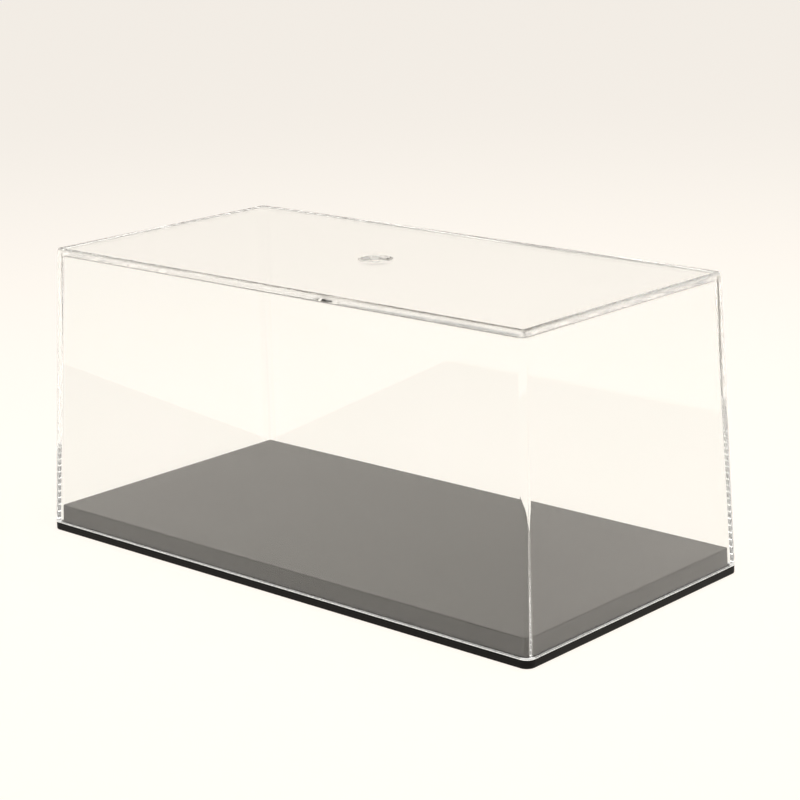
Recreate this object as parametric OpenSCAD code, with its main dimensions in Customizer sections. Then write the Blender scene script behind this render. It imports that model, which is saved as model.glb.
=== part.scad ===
// Display case for a scale model: a drafted clear cover stands on the flange of
// a black base tray, round a charcoal deck that four small screws hold to the tray.
// Origin at the middle of the base's underside, X along the length, Z up.

/* [Base tray] */
// Length of the base tray along X
base_l = 170; // [130:1:240]
// Width of the base tray along Y
base_w = 87.5; // [70:0.5:130]
// Thickness of the outer flange that the cover stands on
flange_h = 2.25; // [1.7:0.05:3]
// Corner radius of the flange, seen from above
flange_corner_r = 2.5; // [1.5:0.25:4]
// Rounding along the flange's lower and upper outer edges
flange_edge_r = 0.3; // [0.1:0.05:0.5]
// Thickness of the raised plateau's top and sides
tray_wall = 1.6; // [1.2:0.1:2]
// Thickness of the stiffening ribs under the plateau
rib_t = 1.1; // [0.8:0.1:1.5]
// Largest spacing of the ribs, which split the underside into equal cells
rib_pitch = 16; // [12:1:24]
// How far the ribs stop short of the surface that the case stands on
rib_recess = 0.4; // [0.2:0.1:0.8]
// Diameter of the ejector pads along the long ribs
pad_d = 4.5; // [3:0.5:6]

/* [Deck] */
// Height of the deck's top above the flange
deck_rise = 4.7; // [4.5:0.1:8]
// Thickness of the deck's top and of its skirt
deck_skin = 1.6; // [1.4:0.1:2.2]
// Corner radius of the deck at its foot, seen from above
deck_corner_r = 1; // [0.8:0.1:3]
// Rounding along the deck's top edge
deck_edge_r = 0.25; // [0.1:0.05:0.5]

/* [Clear cover] */
// Height of the cover from its rim to its top
cover_h = 77.75; // [50:0.5:120]
// Wall of the cover's four sides, measured level
cover_wall = 2; // [1.5:0.1:3]
// Thickness of the cover's top plate
cover_top_t = 2.1; // [1.8:0.1:3]
// Draft of the sides, in degrees from upright
draft_deg = 2.8; // [1:0.1:4]
// Outer corner radius of the sides at the rim
cover_foot_r = 2.4; // [1.5:0.1:3.5]
// Outer corner radius of the sides at the top
cover_top_r = 1.2; // [1.1:0.1:3]
// Rounding along the outer top edge
cover_edge_r = 1; // [0.4:0.1:1.1]
// Inner corner radius of the sides
cover_inner_r = 0.7; // [0.6:0.05:1.2]
// Rounding between the inner sides and the ceiling
cover_ceiling_r = 0.5; // [0.3:0.1:0.5]

/* [Gate mark] */
// Width of the gate dish in the middle of the cover's top
gate_d = 9.3; // [6:0.1:14]
// Width of the dish's flat floor
gate_floor_d = 5.2; // [3:0.2:5.6]
// Depth of the dish
gate_depth = 1.3; // [0.5:0.1:1.5]
// Width of the trimmed sprue stub in the dish
sprue_d = 2; // [1:0.1:2.8]
// Height of the sprue stub above the dish's floor
sprue_h = 0.4; // [0.2:0.1:0.5]

/* [Deck screws] */
// Diameter of the self-tapping screws over their thread
screw_d = 2.2; // [1.8:0.1:2.6]
// Length of the screws under their heads
screw_l = 4.5; // [3.8:0.1:4.6]
// Diameter of the screw's pan head
screw_head_d = 4.2; // [3.8:0.1:5]
// Height of the screw's pan head
screw_head_h = 1.1; // [0.8:0.05:1.2]
// Width of one slot of the cross recess
slot_w = 0.5; // [0.3:0.05:0.7]
// Depth of the cross recess
slot_depth = 0.6; // [0.4:0.05:0.7]

/* [Clearances] */
// Gap between the deck and the cover's inner faces
deck_gap = 0.35; // [0.2:0.05:0.6]
// Gap between the plateau's sides and the deck's skirt
seat_gap = 0.15; // [0.05:0.05:0.3]
// Gap between the screw's shank and the hole in the tray
shank_gap = 0.2; // [0.1:0.05:0.3]
// Gap between the screw's head and its counterbore
head_gap = 0.4; // [0.2:0.1:0.6]
// Gap between the deck's bosses and their pockets in the tray
boss_gap = 0.2; // [0.1:0.05:0.3]
// Gap between the screw and the threaded hole that it has formed
thread_gap = 0.02; // [0.01:0.01:0.04]
// Gap between the screw's tip and the blind end of its hole
tip_gap = 0.2; // [0.1:0.05:0.3]

/* [Hidden] */
// Overrun of every cut past the face that it leaves by
cut = 0.5;
// Height of the thin discs that the cover's loft starts from
film = 0.02;
// Smallest corner radius of the deck's hollow, the plateau and its recess
core_r = 0.5;
// Web of the tray between a screw's head and the end of the boss
seat_web = 1.1;
// Wall of the tray's screw columns round the head's counterbore
column_wall = 1.1;
// Wall of the deck's bosses round the screw
boss_wall = 1.3;
// Material left between a screw's hole and the deck's top face
deck_roof = 0.6;
// Length of the screw's tapered tip
tip_l = 0.7;
// Width of the tip's flat end, as a share of the screw's diameter
tip_share = 0.3;
// Height of the head's upright rim, as a share of the head's height
head_rim_share = 0.4;
// Length of the cross recess, as a share of the head's diameter
slot_share = 0.55;

// Heights of the deck and of the plateau under it
deck_top_z = flange_h + deck_rise;
plateau_top_z = deck_top_z - deck_skin;
ceiling_z = plateau_top_z - tray_wall;
// Inset of a drafted face for each unit of height
draft = tan(draft_deg);
// Plan sizes from the cover inwards: deck, hollow of the deck, plateau, recess
deck_l = base_l - 2 * (cover_wall + deck_gap);
deck_w = base_w - 2 * (cover_wall + deck_gap);
hollow_l = deck_l - 2 * (deck_skin + deck_rise * draft);
hollow_w = deck_w - 2 * (deck_skin + deck_rise * draft);
hollow_r = max(deck_corner_r - deck_skin, core_r);
plateau_l = hollow_l - 2 * seat_gap;
plateau_w = hollow_w - 2 * seat_gap;
recess_l = plateau_l - 2 * tray_wall;
recess_w = plateau_w - 2 * tray_wall;
// Cells between the ribs, an even number of them along the length
cells_x = 2 * ceil(recess_l / rib_pitch / 2);
cells_y = ceil(recess_w / rib_pitch);
cell_l = recess_l / cells_x;
cell_w = recess_w / cells_y;
// The screws stand where the outermost ribs cross
screw_x = recess_l / 2 - cell_l;
screw_y = recess_w / 2 - cell_w;
SCREW_PLACES = [for (sx = [-1, 1], sy = [-1, 1]) [sx * screw_x, sy * screw_y]];
// The pads stand on the same two long ribs, at every second crossing between
PAD_PLACES = [for (i = [3 : 2 : cells_x - 3], sy = [-1, 1])
    [i * cell_l - recess_l / 2, sy * screw_y]];
// Heights and diameters that the screws set in the tray and in the deck
hole_end_z = deck_top_z - deck_roof;
head_seat_z = hole_end_z - tip_gap - screw_l;
pocket_z = head_seat_z + seat_web;
pocket_d = screw_d + 2 * (boss_wall + boss_gap);
counterbore_d = screw_head_d + 2 * head_gap;
column_d = max(counterbore_d, pocket_d) + 2 * column_wall;

// Block with a rounded-rectangle plan whose outer rim has the 2D child as its
// section. The child starts on the corner's axis, x outwards and y upwards.
module rimmed_block(l, w, r, h) {
    cx = l / 2 - r;
    cy = w / 2 - r;
    for (x = [-cx, cx], y = [-cy, cy])
        translate([x, y]) rotate_extrude($fn = 64) children();
    for (side = [-1, 1]) {
        translate([0, side * cy]) rotate([90, 0, side * 90])
            linear_extrude(2 * cx, center = true) children();
        translate([side * cx, 0]) rotate([90, 0, 90 - side * 90])
            linear_extrude(2 * cy, center = true) children();
    }
    translate([-cx, -cy]) cube([2 * cx, 2 * cy, h]);
}

// Upright block with a rounded-rectangle plan
module plain_block(l, w, r, h) {
    rimmed_block(l, w, r, h) square([r, h]);
}

// Section of the flange, with both of its outer edges rounded
module flange_section(r, h, e) {
    square([r - e, h]);
    translate([0, e]) square([r, h - 2 * e]);
    for (y = [e, h - e])
        translate([r - e, y]) circle(e, $fn = 32);
}

// Section of a drafted side that is r out at its foot, with its top edge rounded
module drafted_section(r, h, e) {
    arc_x = r - (e + (h - e) * sin(draft_deg)) / cos(draft_deg);
    arc_y = h - e;
    polygon([[0, 0], [r, 0],
        [arc_x + e * cos(draft_deg), arc_y + e * sin(draft_deg)],
        [arc_x, arc_y], [arc_x, h], [0, h]]);
    translate([arc_x, arc_y]) circle(e, $fn = 48);
}

// Ribs that divide the recess under the plateau into equal cells
module underside_ribs() {
    rib_h = ceiling_z - rib_recess + cut;
    for (i = [1 : cells_x - 1])
        translate([i * cell_l - recess_l / 2 - rib_t / 2, -recess_w / 2 - cut, rib_recess])
            cube([rib_t, recess_w + 2 * cut, rib_h]);
    for (j = [1 : cells_y - 1])
        translate([-recess_l / 2 - cut, j * cell_w - recess_w / 2 - rib_t / 2, rib_recess])
            cube([recess_l + 2 * cut, rib_t, rib_h]);
}

// Round pads where the ejector pins push, and a column round each screw
module underside_posts() {
    for (p = PAD_PLACES)
        translate([p.x, p.y, rib_recess])
            cylinder(d = pad_d, h = ceiling_z - rib_recess + cut, $fn = 48);
    for (p = SCREW_PLACES)
        translate([p.x, p.y, rib_recess])
            cylinder(d = column_d, h = plateau_top_z - rib_recess, $fn = 64);
}

// Cuts for one screw: counterbore, shank hole, and the pocket for the boss
module screw_seat() {
    translate([0, 0, -cut])
        cylinder(d = counterbore_d, h = head_seat_z + cut, $fn = 64);
    translate([0, 0, head_seat_z - cut])
        cylinder(d = screw_d + 2 * shank_gap, h = seat_web + 2 * cut, $fn = 64);
    translate([0, 0, pocket_z])
        cylinder(d = pocket_d, h = plateau_top_z - pocket_z + cut, $fn = 64);
}

// Black tray: flange, hollow ribbed plateau, and the seats of the screws
module base_tray() {
    color([0.09, 0.085, 0.08])
    difference() {
        union() {
            difference() {
                union() {
                    rimmed_block(base_l, base_w, flange_corner_r, flange_h)
                        flange_section(flange_corner_r, flange_h, flange_edge_r);
                    plain_block(plateau_l, plateau_w, hollow_r, plateau_top_z);
                }
                translate([0, 0, -cut])
                    plain_block(recess_l, recess_w, hollow_r, ceiling_z + cut);
            }
            underside_ribs();
            underside_posts();
        }
        for (p = SCREW_PLACES)
            translate([p.x, p.y]) screw_seat();
    }
}

// Charcoal deck: a shallow cap over the plateau, with a boss for each screw
module display_deck() {
    boss_end_z = pocket_z + boss_gap;
    color([0.24, 0.235, 0.23])
    difference() {
        union() {
            difference() {
                translate([0, 0, flange_h])
                    rimmed_block(deck_l, deck_w, deck_corner_r, deck_rise)
                        drafted_section(deck_corner_r, deck_rise, deck_edge_r);
                translate([0, 0, flange_h - cut])
                    plain_block(hollow_l, hollow_w, hollow_r,
                        plateau_top_z - flange_h + cut);
            }
            for (p = SCREW_PLACES)
                translate([p.x, p.y, boss_end_z])
                    cylinder(d = screw_d + 2 * boss_wall,
                        h = plateau_top_z - boss_end_z + cut, $fn = 64);
        }
        for (p = SCREW_PLACES)
            translate([p.x, p.y, boss_end_z - cut])
                cylinder(d = screw_d + 2 * thread_gap,
                    h = hole_end_z - boss_end_z + cut, $fn = 64);
    }
}

// Half section of one screw from the head's face up to the blunt tip
module screw_section() {
    head_r = screw_head_d / 2;
    rim_z = -screw_head_h * head_rim_share;
    face_r = head_r - (screw_head_h + rim_z);
    polygon([[0, -screw_head_h], [face_r, -screw_head_h], [head_r, rim_z],
        [head_r, 0], [screw_d / 2, 0], [screw_d / 2, screw_l - tip_l],
        [screw_d / 2 * tip_share, screw_l], [0, screw_l]]);
}

// One pan-head screw with its tip up, the underside of its head at z = 0
module screw() {
    slot_l = screw_head_d * slot_share;
    difference() {
        rotate_extrude($fn = 48) screw_section();
        for (turn = [0, 90])
            rotate([0, 0, turn])
                translate([-slot_l / 2, -slot_w / 2, -screw_head_h - cut])
                    cube([slot_l, slot_w, slot_depth + cut]);
    }
}

// The four screws that hold the deck to the tray from below
module deck_screws() {
    color([0.62, 0.62, 0.6])
    for (p = SCREW_PLACES)
        translate([p.x, p.y, head_seat_z]) screw();
}

// Upper corner of the cover: an upright edge of radius r that rolls over by e
module rolled_corner(r, e) {
    rotate_extrude($fn = 48) {
        square([r - e, e]);
        translate([r - e, 0]) intersection() {
            circle(e, $fn = 32);
            square(e);
        }
    }
}

// Loft from a rounded rectangle at z = 0 up to a smaller one with a rolled edge
module drafted_loft(l, w, h, foot_r, top_r, e) {
    inset = h * draft + top_r;
    hull()
        for (sx = [-1, 1], sy = [-1, 1]) {
            translate([sx * (l / 2 - foot_r), sy * (w / 2 - foot_r)])
                cylinder(r = foot_r, h = film, $fn = 48);
            translate([sx * (l / 2 - inset), sy * (w / 2 - inset), h - e])
                rolled_corner(top_r, e);
        }
}

// Clear cover: a drafted thin-walled box, open below, with the gate dish on top
module clear_cover() {
    below = cut * draft;
    color([0.93, 0.95, 0.94, 0.3])
    translate([0, 0, flange_h]) {
        difference() {
            drafted_loft(base_l, base_w, cover_h,
                cover_foot_r, cover_top_r, cover_edge_r);
            translate([0, 0, -cut])
                drafted_loft(base_l - 2 * (cover_wall - below),
                    base_w - 2 * (cover_wall - below),
                    cover_h - cover_top_t + cut, cover_inner_r, cover_inner_r, cover_ceiling_r);
            translate([0, 0, cover_h - gate_depth])
                cylinder(d1 = gate_floor_d, d2 = gate_d, h = gate_depth, $fn = 64);
            translate([0, 0, cover_h])
                cylinder(d = gate_d, h = cut, $fn = 64);
        }
        translate([0, 0, cover_h - gate_depth - sprue_h])
            cylinder(d = sprue_d, h = 2 * sprue_h, $fn = 32);
    }
}

base_tray();
display_deck();
deck_screws();
clear_cover();
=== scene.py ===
# %% [markdown]
# # A clear display case for a scale model
# The real case is three mouldings and four screws: a black base tray, a charcoal
# deck for the model to stand on, and a clear cover that drops over the deck and
# lifts straight off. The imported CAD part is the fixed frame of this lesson. The
# pieces that Blender models follow its boxes, so nothing changes size.

import math

import bpy
from mathutils import Matrix, Vector


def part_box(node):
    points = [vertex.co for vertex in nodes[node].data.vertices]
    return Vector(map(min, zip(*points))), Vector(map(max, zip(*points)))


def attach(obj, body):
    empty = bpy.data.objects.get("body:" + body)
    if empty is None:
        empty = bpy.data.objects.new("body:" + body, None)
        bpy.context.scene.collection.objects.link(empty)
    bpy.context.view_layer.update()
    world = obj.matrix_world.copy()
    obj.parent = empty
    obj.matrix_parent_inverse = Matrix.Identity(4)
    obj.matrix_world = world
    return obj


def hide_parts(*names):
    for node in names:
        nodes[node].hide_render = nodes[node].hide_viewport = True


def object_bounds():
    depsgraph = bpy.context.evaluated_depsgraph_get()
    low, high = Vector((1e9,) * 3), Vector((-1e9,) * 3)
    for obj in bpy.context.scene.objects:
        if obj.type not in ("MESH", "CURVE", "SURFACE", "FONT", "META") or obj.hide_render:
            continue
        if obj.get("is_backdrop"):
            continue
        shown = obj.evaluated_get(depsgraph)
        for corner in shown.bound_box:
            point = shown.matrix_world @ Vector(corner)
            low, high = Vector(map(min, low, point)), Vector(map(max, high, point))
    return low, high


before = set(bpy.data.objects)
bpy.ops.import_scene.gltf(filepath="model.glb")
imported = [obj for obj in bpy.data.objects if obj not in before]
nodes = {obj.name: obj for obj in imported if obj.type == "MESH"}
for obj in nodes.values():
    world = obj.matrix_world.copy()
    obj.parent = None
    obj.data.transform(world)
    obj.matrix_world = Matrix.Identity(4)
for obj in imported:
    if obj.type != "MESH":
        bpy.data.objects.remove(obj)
CAD_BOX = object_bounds()
print("CAD nodes:", sorted(nodes), "box", [tuple(round(v, 4) for v in p) for p in CAD_BOX])

# %% [markdown]
# ## Small helpers
# Sizes below are given in millimetres, as a toolmaker would write them, and one
# factor turns them to metres. An operator works on whatever is selected, and
# the frame arrives selected, so each new piece starts with a clean selection.

# %% Millimetres, selections and edit mode
MM = 0.001
NEAR = 0.002 * MM


def only(obj):
    """Makes obj the one selected and active object."""
    bpy.ops.object.select_all(action="DESELECT")
    obj.select_set(True)
    bpy.context.view_layer.objects.active = obj


def start(name, add, **place):
    """Adds a primitive under a name, puts its place in its mesh, and opens edit mode."""
    bpy.ops.object.select_all(action="DESELECT")
    add(**place)
    obj = bpy.context.object
    obj.name = obj.data.name = name
    bpy.ops.object.transform_apply(location=True, rotation=True, scale=True)
    bpy.ops.object.mode_set(mode="EDIT")
    return obj


def pick(obj, kind, test):
    """In edit mode, selects the edges or faces whose every corner passes the test."""
    bpy.ops.mesh.select_mode(type=kind)
    bpy.ops.mesh.select_all(action="DESELECT")
    bpy.ops.object.mode_set(mode="OBJECT")
    corners = obj.data.vertices
    items = obj.data.edges if kind == "EDGE" else obj.data.polygons
    chosen = [item for item in items if all(test(corners[i].co) for i in item.vertices)]
    for item in chosen:
        item.select = True
    bpy.ops.object.mode_set(mode="EDIT")
    return len(chosen)


def at_height(z):
    """A test for what lies at one height."""
    return lambda p: abs(p.z - z) < NEAR


def finish_edit(obj):
    """Turns all faces of obj outward, leaves edit mode and prints what was made."""
    bpy.ops.mesh.select_all(action="SELECT")
    bpy.ops.mesh.normals_make_consistent(inside=False)
    bpy.ops.object.mode_set(mode="OBJECT")
    dims = [round(v / MM, 2) for v in obj.dimensions]
    print(f"{obj.name}: {dims} mm, {len(obj.data.polygons)} faces")


# %% [markdown]
# ## The clear cover, from outside
# The cover is one injection moulding with a wall of 2 mm. Its sides lean in by
# 2.8 degrees so that it leaves the mould, and its upright edges are rounded, more
# at the rim than at the top. A cube with a scaled top would give sharp edges that
# don't bend light. So two rounded rectangles are drawn, at the rim and at the
# top, the way a toolmaker gives two sections, and a bridge of faces joins them.

# %% The sizes of the cover
cover_lo, cover_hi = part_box("clear_cover")
flange_top, cover_top = cover_lo.z, cover_hi.z
COVER_L, COVER_W = cover_hi.x - cover_lo.x, cover_hi.y - cover_lo.y
DRAFT = math.tan(math.radians(2.8))
WALL, TOP_PLATE = 2.0 * MM, 2.1 * MM
FOOT_R, TOP_R, EDGE_R = 2.4 * MM, 1.2 * MM, 1.0 * MM
INNER_R, CEILING_R = 0.7 * MM, 0.5 * MM
CORNER_CUTS, EDGE_CUTS = 14, 8
print("cover", round(COVER_L / MM, 2), "by", round(COVER_W / MM, 2), "mm at the rim")

# %% Bridge two rounded rectangles into a drafted shell


def round_off(length, width, radius):
    """Makes the unit plane just added the bare outline of a rounded rectangle."""
    bpy.ops.transform.resize(value=(length, width, 1))
    bpy.ops.mesh.bevel(offset=radius, segments=CORNER_CUTS, affect="VERTICES")
    bpy.ops.mesh.delete(type="ONLY_FACE")


def drafted_shell(name, length, width, foot_z, top_z, foot_r, top_r, edge_r):
    """An open drafted box, left in edit mode, with a rolled edge round its top."""
    obj = start(name, bpy.ops.mesh.primitive_plane_add, size=1, location=(0, 0, foot_z))
    round_off(length, width, foot_r)
    inset = 2 * (top_z - foot_z) * DRAFT
    bpy.ops.mesh.primitive_plane_add(size=1, location=(0, 0, top_z))
    round_off(length - inset, width - inset, top_r)
    bpy.ops.mesh.select_all(action="SELECT")
    bpy.ops.mesh.bridge_edge_loops()
    pick(obj, "EDGE", at_height(top_z))
    bpy.ops.mesh.edge_face_add()
    pick(obj, "EDGE", at_height(top_z))
    bpy.ops.mesh.bevel(offset=edge_r, segments=EDGE_CUTS, affect="EDGES")
    return obj


cover = drafted_shell("clear_cover_shell", COVER_L, COVER_W, flange_top, cover_top,
                      FOOT_R, TOP_R, EDGE_R)
finish_edit(cover)

# %% [markdown]
# ## The inside of the cover
# The core of the mould has tighter corners than its cavity, so the solid plastic
# is thickest in the upright edges. That is what bends the light there into the
# thin bright lines of the real case. A Solidify modifier would keep one radius
# difference and one thickness, so the inner faces are a second drafted shell of
# their own, joined to the first. A strip of faces between the feet is the rim.

# %% Inner shell and rim
inside = drafted_shell("inner_faces", COVER_L - 2 * WALL, COVER_W - 2 * WALL,
                       flange_top, cover_top - TOP_PLATE, INNER_R, INNER_R, CEILING_R)
finish_edit(inside)
only(cover)
inside.select_set(True)
bpy.ops.object.join()
bpy.ops.object.mode_set(mode="EDIT")
print("edges round the rim:", pick(cover, "EDGE", at_height(flange_top)))
bpy.ops.mesh.fill()
finish_edit(cover)

# %% [markdown]
# ## The gate mark
# The plastic was injected at the middle of the top. The gate leaves a shallow
# dish there, with the stub of the trimmed sprue in it. Its floor is level and
# lets the light through, so only the short slope round it is seen as a grey ring.
# Here it is 0.4 mm shallower than in the CAD and its floor is 1.4 mm wider across,
# which looks more like the photograph.
# A Boolean would do, but a ring of edges that is extruded inwards step by step
# keeps the faces in neat rings, and the dish then shows no stray creases.

# %% Extrude the gate dish ring by ring
GATE_R, GATE_FLOOR_R, GATE_DEPTH = 4.65 * MM, 3.3 * MM, 0.9 * MM
STUB_R, STUB_TOP_R, STUB_H = 1.0 * MM, 0.94 * MM, 0.4 * MM
RING_VERTS = 64


def grow_ring(radius_from, radius_to, rise):
    """Extrudes the selected ring of edges to another radius and height."""
    bpy.ops.mesh.extrude_edges_move(TRANSFORM_OT_translate={"value": (0, 0, rise)})
    share = radius_to / radius_from
    bpy.ops.transform.resize(value=(share, share, 1), center_override=(0, 0, 0))


bpy.ops.object.mode_set(mode="EDIT")
print("flat faces on the top:", pick(cover, "FACE", at_height(cover_top)))
bpy.ops.mesh.delete(type="ONLY_FACE")
bpy.ops.mesh.primitive_circle_add(vertices=RING_VERTS, radius=GATE_R,
                                  location=(0, 0, cover_top))
grow_ring(GATE_R, GATE_FLOOR_R, -GATE_DEPTH)
grow_ring(GATE_FLOOR_R, STUB_R, 0)
grow_ring(STUB_R, STUB_TOP_R, STUB_H)
bpy.ops.mesh.edge_face_add()
bpy.ops.mesh.poke()
pick(cover, "EDGE", at_height(cover_top))
bpy.ops.mesh.fill()
finish_edit(cover)

# %% [markdown]
# ## Shading of the cover
# Clear plastic shows every fault in its normals. Edges flatter than 20 degrees
# are shaded smooth, so the rolled edges look round, and the corner of the gate
# dish stays crisp. Weighted normals then keep the large faces truly flat next to
# the rolled edges. The piece rides on the cover's body and replaces its solid.

# %% Smooth the rolled edges, keep the flats flat
COVER_SMOOTH, SCREW_SMOOTH = math.radians(20), math.radians(35)

bpy.ops.object.shade_smooth_by_angle(angle=COVER_SMOOTH)
weigh = cover.modifiers.new("flats_stay_flat", "WEIGHTED_NORMAL")
weigh.keep_sharp = True
bpy.ops.object.modifier_apply(modifier=weigh.name)
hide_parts("clear_cover")
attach(cover, "cover")
print("sharp edges kept:", sum(edge.use_edge_sharp for edge in cover.data.edges))

# %% [markdown]
# ## The deck screws
# Four small pan-head screws come up from below and cut their own thread in the
# bosses of the deck. They show only when the case is turned over, but the CAD
# has a plain shank, so here each gets a domed head, a tapered cross recess and a
# real helical thread. The screw is turned like a lathe part: one ring of edges
# is extruded from the face of the head to the tip, up along its own axis.

# %% Turn the head and the shank
HEAD_R, HEAD_H = 2.1 * MM, 1.1 * MM
CORE_R, SCREW_LENGTH, TIP_LENGTH = 0.76 * MM, 4.5 * MM, 0.9 * MM
TIP_R = 0.2 * MM
FLAT_SHARE = 0.6
DOME_SHARES = [(0.80, 0.05), (0.92, 0.18), (0.98, 0.36), (1.0, 0.58)]
SCREW_RING = 40
head_z = -HEAD_H

screws = start("deck_screws_threaded", bpy.ops.mesh.primitive_circle_add,
               vertices=SCREW_RING, radius=FLAT_SHARE * HEAD_R, fill_type="NGON",
               location=(0, 0, head_z))
pick(screws, "EDGE", at_height(head_z))
ring_r, ring_z = FLAT_SHARE * HEAD_R, head_z
for r_share, h_share in DOME_SHARES:
    next_r, next_z = r_share * HEAD_R, head_z + h_share * HEAD_H
    grow_ring(ring_r, next_r, next_z - ring_z)
    ring_r, ring_z = next_r, next_z
grow_ring(ring_r, HEAD_R, -ring_z)
grow_ring(HEAD_R, CORE_R, 0)
grow_ring(CORE_R, CORE_R, SCREW_LENGTH - TIP_LENGTH)
grow_ring(CORE_R, TIP_R, TIP_LENGTH)
bpy.ops.mesh.edge_face_add()
finish_edit(screws)

# %% [markdown]
# ## The cross recess
# The driver's cross is two blades that narrow towards their tip. Each blade is a
# box whose deep end is scaled down, sunk into the head, and a Boolean modifier
# cuts it out. Booleans are at their best on small closed solids like these.

# %% Cut the cross with two tapered blades
BLADE_L, BLADE_W, BLADE_DEPTH, BLADE_TAPER = 2.3 * MM, 0.5 * MM, 0.7 * MM, 0.45
OVERRUN = 0.3 * MM

for turn in (0, 90):
    blade = start(f"driver_blade_{turn}", bpy.ops.mesh.primitive_cube_add, size=1,
                  location=(0, 0, head_z + (BLADE_DEPTH - OVERRUN) / 2),
                  scale=(BLADE_L, BLADE_W, BLADE_DEPTH + OVERRUN))
    pick(blade, "FACE", at_height(head_z + BLADE_DEPTH))
    bpy.ops.transform.resize(value=(BLADE_TAPER, BLADE_TAPER, 1))
    bpy.ops.mesh.select_all(action="SELECT")
    bpy.ops.transform.rotate(value=math.radians(turn), orient_axis="Z",
                             center_override=(0, 0, 0))
    finish_edit(blade)
    only(screws)
    carve = screws.modifiers.new("cross_recess", "BOOLEAN")
    carve.object = blade
    carve.solver = "EXACT"
    bpy.ops.object.modifier_apply(modifier=carve.name)
    bpy.data.objects.remove(blade)
print("head and shank:", len(screws.data.polygons), "faces")

# %% [markdown]
# ## The thread
# A thread is one small profile that turns round the shank and climbs by a pitch
# each turn, which is just what the Screw modifier does. The profile is a
# triangle with its foot sunk into the shank, so the two overlap and no gap shows.
# Its crest stays 0.02 mm inside the CAD's plain shank, and so clear of the hole.

# %% Sweep the thread
THREAD_R, PITCH, TURNS, STEPS = 1.08 * MM, 0.8 * MM, 4, 28
THREAD_FOOT_R = CORE_R - 0.06 * MM
THREAD_START = 0.35 * MM
CREST_AT, FOOT_AT = 0.28, 0.56

thread = start("thread_ridge", bpy.ops.mesh.primitive_circle_add, vertices=3,
               radius=0.5 * PITCH, location=(0, 0, 0))
bpy.ops.object.mode_set(mode="OBJECT")
profile = [(THREAD_FOOT_R, 0), (THREAD_R, CREST_AT * PITCH), (THREAD_FOOT_R, FOOT_AT * PITCH)]
for corner, (x, z) in zip(thread.data.vertices, profile):
    corner.co = (x, 0, THREAD_START + z)
climb = thread.modifiers.new("thread_climb", "SCREW")
climb.angle = 2 * math.pi
climb.screw_offset = PITCH
climb.iterations = TURNS
climb.steps = climb.render_steps = STEPS
climb.use_merge_vertices = False
bpy.ops.object.modifier_apply(modifier=climb.name)
bpy.ops.object.mode_set(mode="EDIT")
bpy.ops.mesh.select_all(action="SELECT")
bpy.ops.mesh.fill_holes(sides=3)
finish_edit(thread)
only(screws)
thread.select_set(True)
bpy.ops.object.join()

# %% [markdown]
# ## Four screws in their places
# The frame's box of the four screws gives their places: it ends at the edge of a
# head, so a head's radius in from the box is a screw's axis. The one finished
# screw moves to the first corner, and two Array modifiers copy it along the
# length and the width, as the real pattern of four repeats.

# %% Move the screw to a corner and repeat it
screw_lo, screw_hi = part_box("deck_screws")
first = Vector((screw_lo.x + HEAD_R, screw_lo.y + HEAD_R, screw_lo.z + HEAD_H))
spans = (-2 * first.x, -2 * first.y)
bpy.ops.object.mode_set(mode="EDIT")
bpy.ops.mesh.select_all(action="SELECT")
bpy.ops.transform.translate(value=first)
bpy.ops.object.mode_set(mode="OBJECT")
for axis, span in enumerate(spans):
    repeat = screws.modifiers.new("repeat", "ARRAY")
    repeat.use_relative_offset = False
    repeat.use_constant_offset = True
    repeat.constant_offset_displace = [span if i == axis else 0 for i in range(3)]
    repeat.count = 2
    bpy.ops.object.modifier_apply(modifier=repeat.name)
bpy.ops.object.shade_smooth_by_angle(angle=SCREW_SMOOTH)
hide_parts("deck_screws")
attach(screws, "base")
print("screws stand", [round(span / MM, 2) for span in spans], "mm apart")

# %% [markdown]
# ## Colours and nodes
# Colours are written as sRGB hex values, as a colour picker shows them, and one
# function turns them to the linear values that a shader works with. Others add a
# node, start a material, and give it a noise whose grain has a size in real
# millimetres, in Object coordinates, so that it stays put on the piece.

# %% Colour and node functions


def linear(hex_code):
    """sRGB hex to linear RGBA."""
    parts = [int(hex_code[i:i + 2], 16) / 255 for i in (1, 3, 5)]
    return [c / 12.92 if c <= 0.04045 else ((c + 0.055) / 1.055) ** 2.4 for c in parts] + [1]


def add_node(tree, kind, values=None, links=None, **settings):
    """Adds a node, sets its properties and inputs, and links outputs to its inputs."""
    node = tree.nodes.new(kind)
    for key, value in settings.items():
        setattr(node, key, value)
    for key, value in (values or {}).items():
        node.inputs[key].default_value = value
    for key, source in (links or {}).items():
        tree.links.new(source, node.inputs[key])
    return node


def new_material(name):
    """A material with an empty tree, and the Object coordinates to start from."""
    mat = bpy.data.materials.new(name)
    mat.use_nodes = True
    tree = mat.node_tree
    tree.nodes.clear()
    return mat, tree, add_node(tree, "ShaderNodeTexCoord").outputs["Object"]


def noise(tree, where, size_mm, detail=2.0):
    """The strength of a noise whose blobs are about size_mm across."""
    return add_node(tree, "ShaderNodeTexNoise", {"Scale": 1 / (size_mm * MM), "Detail": detail},
                    {"Vector": where}).outputs["Fac"]


def between(tree, factor, dark, light):
    """A colour that a factor mixes from two hex colours."""
    mix = add_node(tree, "ShaderNodeMix", {"A": linear(dark), "B": linear(light)},
                   {"Factor": factor}, data_type="RGBA")
    return [out for out in mix.outputs if out.type == "RGBA"][0]


def span_of(tree, factor, low, high):
    """A number that a factor moves from low to high."""
    return add_node(tree, "ShaderNodeMapRange", {"To Min": low, "To Max": high},
                    {"Value": factor}).outputs["Result"]


def dress(obj, *materials):
    """Gives a piece or a CAD node its materials in place of what it has."""
    obj.data.materials.clear()
    for mat in materials:
        obj.data.materials.append(mat)
    print(obj.name, "wears", [mat.name for mat in materials])


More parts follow.
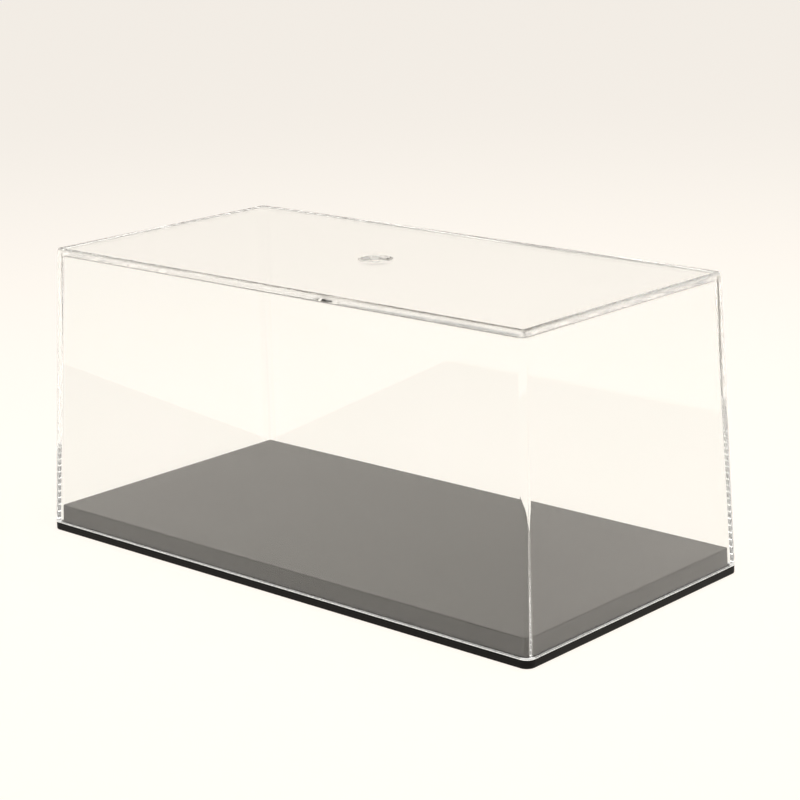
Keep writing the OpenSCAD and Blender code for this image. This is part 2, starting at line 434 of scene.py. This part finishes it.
# %% [markdown]
# ## Clear acrylic
# Acrylic moulded against a polished steel mould is water clear, with a refractive
# index of 1.49. It isn't flawless: a slow waviness is left where the melt shrank,
# and the faintest tint. Light that enters a wall bounces inside it many times and
# comes out along the edges. Fully clear walls repeat what lies below them as a
# ladder of dashes up the edges, which the real case hardly shows. Close to 1% of
# scatter smooths it, but leaves the right edge too dark, so 0.4% is a compromise.
# A very faint warm glow, painted light, lifts the edges of the top, which came out
# darker than the real ones without it. It is a stand-in, and not something acrylic does.

# %% The acrylic of the walls
ACRYLIC_IOR = 1.49
# The walls' emission is a painted glow, not haze in the plastic.
CLEARNESS, PAINTED_EDGE_GLOW, GLOW_TINT = 0.996, 0.003, "#FFF3E4"
WAVE_MM, WAVE_DEPTH, WAVE_ROUGH = 30, 0.012 * MM, 0.004

acrylic, tree, where = new_material("clear_moulded_acrylic")
flow = noise(tree, where, WAVE_MM, detail=1.0)
ripple = add_node(tree, "ShaderNodeBump", {"Strength": 1.0, "Distance": WAVE_DEPTH},
                  {"Height": flow})
shader = add_node(tree, "ShaderNodeBsdfPrincipled",
                  {"IOR": ACRYLIC_IOR, "Transmission Weight": CLEARNESS,
                   "Emission Color": linear(GLOW_TINT), "Emission Strength": PAINTED_EDGE_GLOW},
                  {"Base Color": between(tree, flow, "#FDFEFD", "#FFFFFF"),
                   "Roughness": span_of(tree, flow, 0.0, WAVE_ROUGH),
                   "Normal": ripple.outputs["Normal"]})
add_node(tree, "ShaderNodeOutputMaterial", None, {"Surface": shader.outputs["BSDF"]})

# %% [markdown]
# ## The lit rim
# The rim is where that guided light leaves: seen through the clear wall it is a
# white line all round the foot of the cover. Real rims are a little rough where
# the mould parts. So the rim's faces alone get a rough white, as a parted rim is,
# with a soft glow painted on: painted light that stands in for the light that a real rim lets
# out.

# %% The rim where the light comes out
# The rim's emission is painted light; its rough white face is the parted rim's own.
RIM_GLOW, RIM_TINT = 1.1, "#FFFEFA"
RIM_GRAIN_MM, RIM_GRAIN_DEPTH, RIM_GRAIN_SHARE = 0.4, 0.01 * MM, 0.5
RIM_ROUGH = (0.6, 0.85)

lit_rim, tree, where = new_material("parted_rim_with_painted_glow")
grain = noise(tree, where, RIM_GRAIN_MM)
satin = add_node(tree, "ShaderNodeBump",
                 {"Strength": RIM_GRAIN_SHARE, "Distance": RIM_GRAIN_DEPTH}, {"Height": grain})
shader = add_node(tree, "ShaderNodeBsdfPrincipled",
                  {"IOR": ACRYLIC_IOR, "Emission Color": linear(RIM_TINT),
                   "Emission Strength": RIM_GLOW},
                  {"Base Color": between(tree, grain, "#F4F4F0", "#FFFFFB"),
                   "Roughness": span_of(tree, grain, *RIM_ROUGH),
                   "Normal": satin.outputs["Normal"]})
add_node(tree, "ShaderNodeOutputMaterial", None, {"Surface": shader.outputs["BSDF"]})

dress(cover, acrylic, lit_rim)
rim_faces = [face for face in cover.data.polygons if abs(face.center.z - flange_top) < NEAR]
for face in rim_faces:
    face.material_index = 1
print("faces of the rim:", len(rim_faces))

# %% [markdown]
# ## Moulded plastics
# The deck and the tray are opaque polystyrene, and their CAD solids already have
# the true form, down to the ribs below, so they stay and get a finish. The deck
# comes from a mould with a spark-eroded texture, which makes it matt: it looks
# charcoal from above and much lighter along the surface, where a matt face
# mirrors the bright room. The real texture is about 0.1 mm, too fine for this
# view, so its grain is drawn three times as coarse. The tray's mould was only
# stoned smooth, so the tray is a darker, glossier black with faint flow marks.

# %% The plastics and the nodes that wear them


def moulded(name, dark, light, grain_mm, depth_mm, rough, gloss, flow_mm=25):
    """Opaque plastic: a fine mould texture over slow flow marks of colour and gloss."""
    mat, tree, where = new_material(name)
    grain = noise(tree, where, grain_mm)
    flow = noise(tree, where, flow_mm, detail=1.0)
    both = add_node(tree, "ShaderNodeMath", None, {0: grain, 1: flow}, operation="MULTIPLY")
    pits = add_node(tree, "ShaderNodeBump", {"Strength": 1.0, "Distance": depth_mm * MM},
                    {"Height": grain})
    shader = add_node(tree, "ShaderNodeBsdfPrincipled",
                      {"IOR": PLASTIC_IOR, "Specular IOR Level": gloss},
                      {"Base Color": between(tree, both.outputs["Value"], dark, light),
                       "Roughness": span_of(tree, flow, *rough),
                       "Normal": pits.outputs["Normal"]})
    add_node(tree, "ShaderNodeOutputMaterial", None, {"Surface": shader.outputs["BSDF"]})
    return mat


PLASTIC_IOR = 1.5
DECK_GRAIN, TRAY_GRAIN = (0.3, 0.0025), (0.6, 0.004)
DECK_DARK, DECK_LIGHT, DECK_ROUGH, DECK_GLOSS = "#1C1A17", "#262420", (0.16, 0.24), 0.4
TRAY_DARK, TRAY_LIGHT, TRAY_ROUGH, TRAY_GLOSS = "#121110", "#171615", (0.35, 0.5), 0.1
dress(nodes["display_deck"], moulded("spark_eroded_charcoal_polystyrene", DECK_DARK, DECK_LIGHT,
                                     *DECK_GRAIN, DECK_ROUGH, DECK_GLOSS))
dress(nodes["base_tray"], moulded("stoned_black_polystyrene", TRAY_DARK, TRAY_LIGHT,
                                  *TRAY_GRAIN, TRAY_ROUGH, TRAY_GLOSS))

# %% [markdown]
# ## Zinc on steel
# The screws are steel with a clear-passivated zinc plating: a metal with a faint
# blue and straw bloom, cut in fine rings by the tool that formed the heads. The
# rings follow the screw's own axis, so a wave texture would need one centre for
# each screw. At this size a fine noise gives the same broken glint on all four.

# %% The zinc of the screws
BLOOM_MM, BLOOM_BLUE, BLOOM_STRAW = 2.5, "#A9AEB4", "#C9C4B4"
SCRATCH_MM, SCRATCH_DETAIL, SCRATCH_SHARE, SCRATCH_DEPTH = 0.15, 4.0, 0.6, 0.01 * MM
ZINC_ROUGH = (0.25, 0.42)

zinc, tree, where = new_material("clear_passivated_zinc")
bloom = noise(tree, where, BLOOM_MM)
scratch = noise(tree, where, SCRATCH_MM, SCRATCH_DETAIL)
dents = add_node(tree, "ShaderNodeBump", {"Strength": SCRATCH_SHARE, "Distance": SCRATCH_DEPTH},
                 {"Height": scratch})
shader = add_node(tree, "ShaderNodeBsdfPrincipled", {"Metallic": 1.0},
                  {"Base Color": between(tree, bloom, BLOOM_BLUE, BLOOM_STRAW),
                   "Roughness": span_of(tree, scratch, *ZINC_ROUGH),
                   "Normal": dents.outputs["Normal"]})
add_node(tree, "ShaderNodeOutputMaterial", None, {"Surface": shader.outputs["BSDF"]})
dress(screws, zinc)

# %% [markdown]
# ## The floor
# Product photographers lose the shadow of a thin base by standing it on opal
# plastic that is lit from below. The floor here does the same: about four fifths
# of its brightness is its own, and the rest is the light that falls on it,
# so only a trace of shadow is left along the flange. It glows most under the case
# and less further out, where it fades into the backdrop.

# %% A floor of lit opal plastic
FLOOR_SIZE = 12
SHEET_ROUGH = 0.9
FLOOR_SHEET, FLOOR_LIGHT = "#948F89", "#FDF8F1"
GLOW_NEAR, GLOW_FAR, GLOW_REACH = 0.89, 0.81, 0.9

floor = start("floor", bpy.ops.mesh.primitive_plane_add, size=FLOOR_SIZE)
finish_edit(floor)
opal, tree, where = new_material("opal_sheet_lit_from_below")
from_middle = add_node(tree, "ShaderNodeVectorMath", None, {0: where},
                       operation="LENGTH").outputs["Value"]
glow = add_node(tree, "ShaderNodeMapRange",
                {"From Max": GLOW_REACH, "To Min": GLOW_NEAR, "To Max": GLOW_FAR},
                {"Value": from_middle}, interpolation_type="SMOOTHSTEP").outputs["Result"]
shader = add_node(tree, "ShaderNodeBsdfPrincipled",
                  {"Base Color": linear(FLOOR_SHEET), "Roughness": SHEET_ROUGH,
                   "Specular IOR Level": 0.0, "Emission Color": linear(FLOOR_LIGHT)},
                  {"Emission Strength": glow})
add_node(tree, "ShaderNodeOutputMaterial", None, {"Surface": shader.outputs["BSDF"]})
dress(floor, opal)
floor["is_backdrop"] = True

# %% [markdown]
# ## Light
# Clear plastic in an evenly white room has no edges: they show only where they
# bend the eye towards something dark. So the studio is a bright ring of backdrop
# all round, which the cover's top mirrors from every side, under a dim ceiling
# with one soft lamp. The sky's strength follows the height of each direction.

# %% Sky and softbox
RING, CEILING = 0.9, 0.05
RING_TOP, CEILING_EDGE = 0.4, 0.7
SKY_COLOUR = "#FFF8EF"

world = bpy.data.worlds.new("studio")
bpy.context.scene.world = world
world.use_nodes = True
sky_tree = world.node_tree
way = add_node(sky_tree, "ShaderNodeTexCoord").outputs["Generated"]
height = add_node(sky_tree, "ShaderNodeSeparateXYZ", None, {0: way}).outputs["Z"]
fade = add_node(sky_tree, "ShaderNodeMapRange",
                {"From Min": RING_TOP, "From Max": CEILING_EDGE, "To Min": RING,
                 "To Max": CEILING}, {"Value": height}).outputs["Result"]
sky = sky_tree.nodes["Background"]
sky.inputs["Color"].default_value = linear(SKY_COLOUR)
sky_tree.links.new(fade, sky.inputs["Strength"])

LAMP_POWER, LAMP_SIZE = 2.0, 0.5
LAMP_PLACE = (0.1, 0.0, 0.62)
LAMP_COLOUR = "#FFFFF8"
bpy.ops.object.light_add(type="AREA", location=LAMP_PLACE)
softbox = bpy.context.object.data
softbox.size = LAMP_SIZE
softbox.energy = LAMP_POWER
softbox.color = linear(LAMP_COLOUR)[:3]
print("softbox:", LAMP_POWER, "W,", LAMP_SIZE, "m wide, at", LAMP_PLACE)

# %% [markdown]
# ## How light is traced
# Clear walls need long light paths: with the default 12 bounces the upright edges
# came out 80 to 150 of 255 darker. The Standard view keeps whites white, as the
# photograph has them.

# %% Bounces and view
BOUNCES, MATT_BOUNCES = 64, 8
cycles = bpy.context.scene.cycles
cycles.max_bounces = cycles.glossy_bounces = cycles.transmission_bounces = BOUNCES
cycles.diffuse_bounces = MATT_BOUNCES
cycles.blur_glossy = 0
bpy.context.scene.view_settings.view_transform = "Standard"
print("bounces:", cycles.max_bounces)

# %% [markdown]
# ## Camera
# The photograph was taken from some 60 cm with a long lens, 15 degrees above the
# table and 42 degrees round from the long side. A fit to the corners of the
# flange, deck and cover gave these angles, to about a pixel. The camera looks
# along `forward`, and `spot` is where it stands.

# %% Place the camera
AZIMUTH, ELEVATION, ROLL = map(math.radians, (41.932, 15.190, -1.260))
DISTANCE = 608.50 * MM
TARGET_RIGHT, TARGET_UP = 4.69 * MM, 40.30 * MM
LENS, CLIP_START = 101.27, 10 * MM

forward = Vector((-math.sin(AZIMUTH) * math.cos(ELEVATION),
                  math.cos(AZIMUTH) * math.cos(ELEVATION), -math.sin(ELEVATION)))
level_right = Vector((math.cos(AZIMUTH), math.sin(AZIMUTH), 0))
level_up = level_right.cross(forward)
right = level_right * math.cos(ROLL) + level_up * math.sin(ROLL)
up = right.cross(forward)
spot = right * TARGET_RIGHT + up * TARGET_UP - forward * DISTANCE

bpy.ops.object.camera_add()
camera = bpy.context.object
camera.matrix_world = Matrix.Translation(spot) @ Matrix(
    (right, up, -forward)).transposed().to_4x4()
camera.data.lens = LENS
camera.data.clip_start = CLIP_START
bpy.context.scene.camera = camera
print("camera at", [round(v, 4) for v in spot])

# %% [markdown]
# ## Sizes
# Blender must not change the object's size. The CAD's box and the box of the
# finished pieces are printed side by side, in millimetres.

# %% Print both boxes
boxes = {"cad": [list(p) for p in CAD_BOX], "visual": [list(p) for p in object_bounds()]}
for name, (low, high) in boxes.items():
    print(name, [round((b - a) / MM, 2) for a, b in zip(low, high)], "mm")
